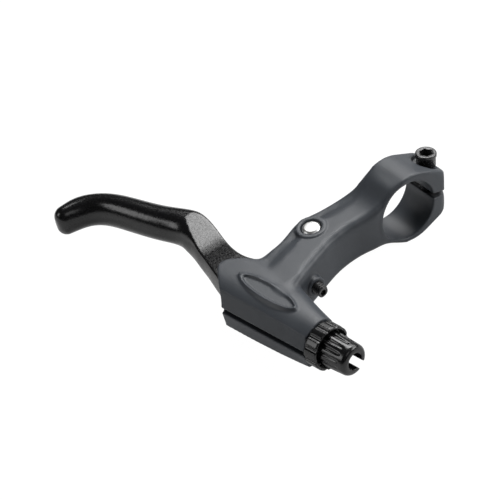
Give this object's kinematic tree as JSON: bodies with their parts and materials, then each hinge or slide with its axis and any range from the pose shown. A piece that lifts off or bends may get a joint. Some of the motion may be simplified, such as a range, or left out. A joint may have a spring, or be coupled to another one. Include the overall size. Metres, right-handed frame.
{
  "type": "bicycle brake lever",
  "caption": "Flat-bar bicycle brake lever: cast clamp perch, hooked blade on a pivot pin, reach screw, and a slotted barrel adjuster with a lobed lock ring.",
  "frame": {"origin": "centre of the handlebar bore, at the middle of the clamp's width", "axes": "+X along the handlebar towards its middle, -Y ahead of the bar where the blade and barrel are, +Z along the pivot pin"},
  "size_m": [0.1359, 0.1051, 0.0264],
  "materials": {
    "perch_paint": "matte charcoal paint on cast aluminium",
    "blade_paint": "satin black, finely grained, on forged aluminium",
    "bush_plastic": "plain moulded bearing plastic",
    "pin_steel": "polished steel",
    "clip_steel": "pressed spring steel",
    "black_steel": "black oxide on steel",
    "barrel_plastic": "glossy black moulded plastic"
  },
  "bodies": {
    "perch": {"perch": "perch_paint", "pivot_pin": "pin_steel", "pivot_clip": "clip_steel", "clamp_bolt": "black_steel"},
    "lever": {"lever_blade": "blade_paint", "upper_bush": "bush_plastic", "lower_bush": "bush_plastic"},
    "barrel": {"barrel_adjuster": "barrel_plastic"},
    "lock_ring": {"lock_ring": "barrel_plastic"},
    "reach_screw": {"reach_screw": "black_steel"}
  },
  "joints": [
    {"name": "lever_pivot", "type": "hinge", "parent": "perch", "child": "lever", "pos_m": [-0.004, -0.032, 0], "axis": [0, 0, -1], "range_deg": [0, 30]},
    {"name": "barrel_turn", "type": "hinge", "parent": "perch", "child": "barrel", "pos_m": [0, -0.0651, 0], "axis": [0.9907, 0.1357, 0], "continuous": true},
    {"name": "lock_ring_turn", "type": "hinge", "parent": "barrel", "child": "lock_ring", "pos_m": [0, -0.0651, 0], "axis": [0.9907, 0.1357, 0], "continuous": true},
    {"name": "reach_screw_turn", "type": "hinge", "parent": "perch", "child": "reach_screw", "pos_m": [0, -0.0446, 0], "axis": [1, 0, 0], "continuous": true}
  ]
}
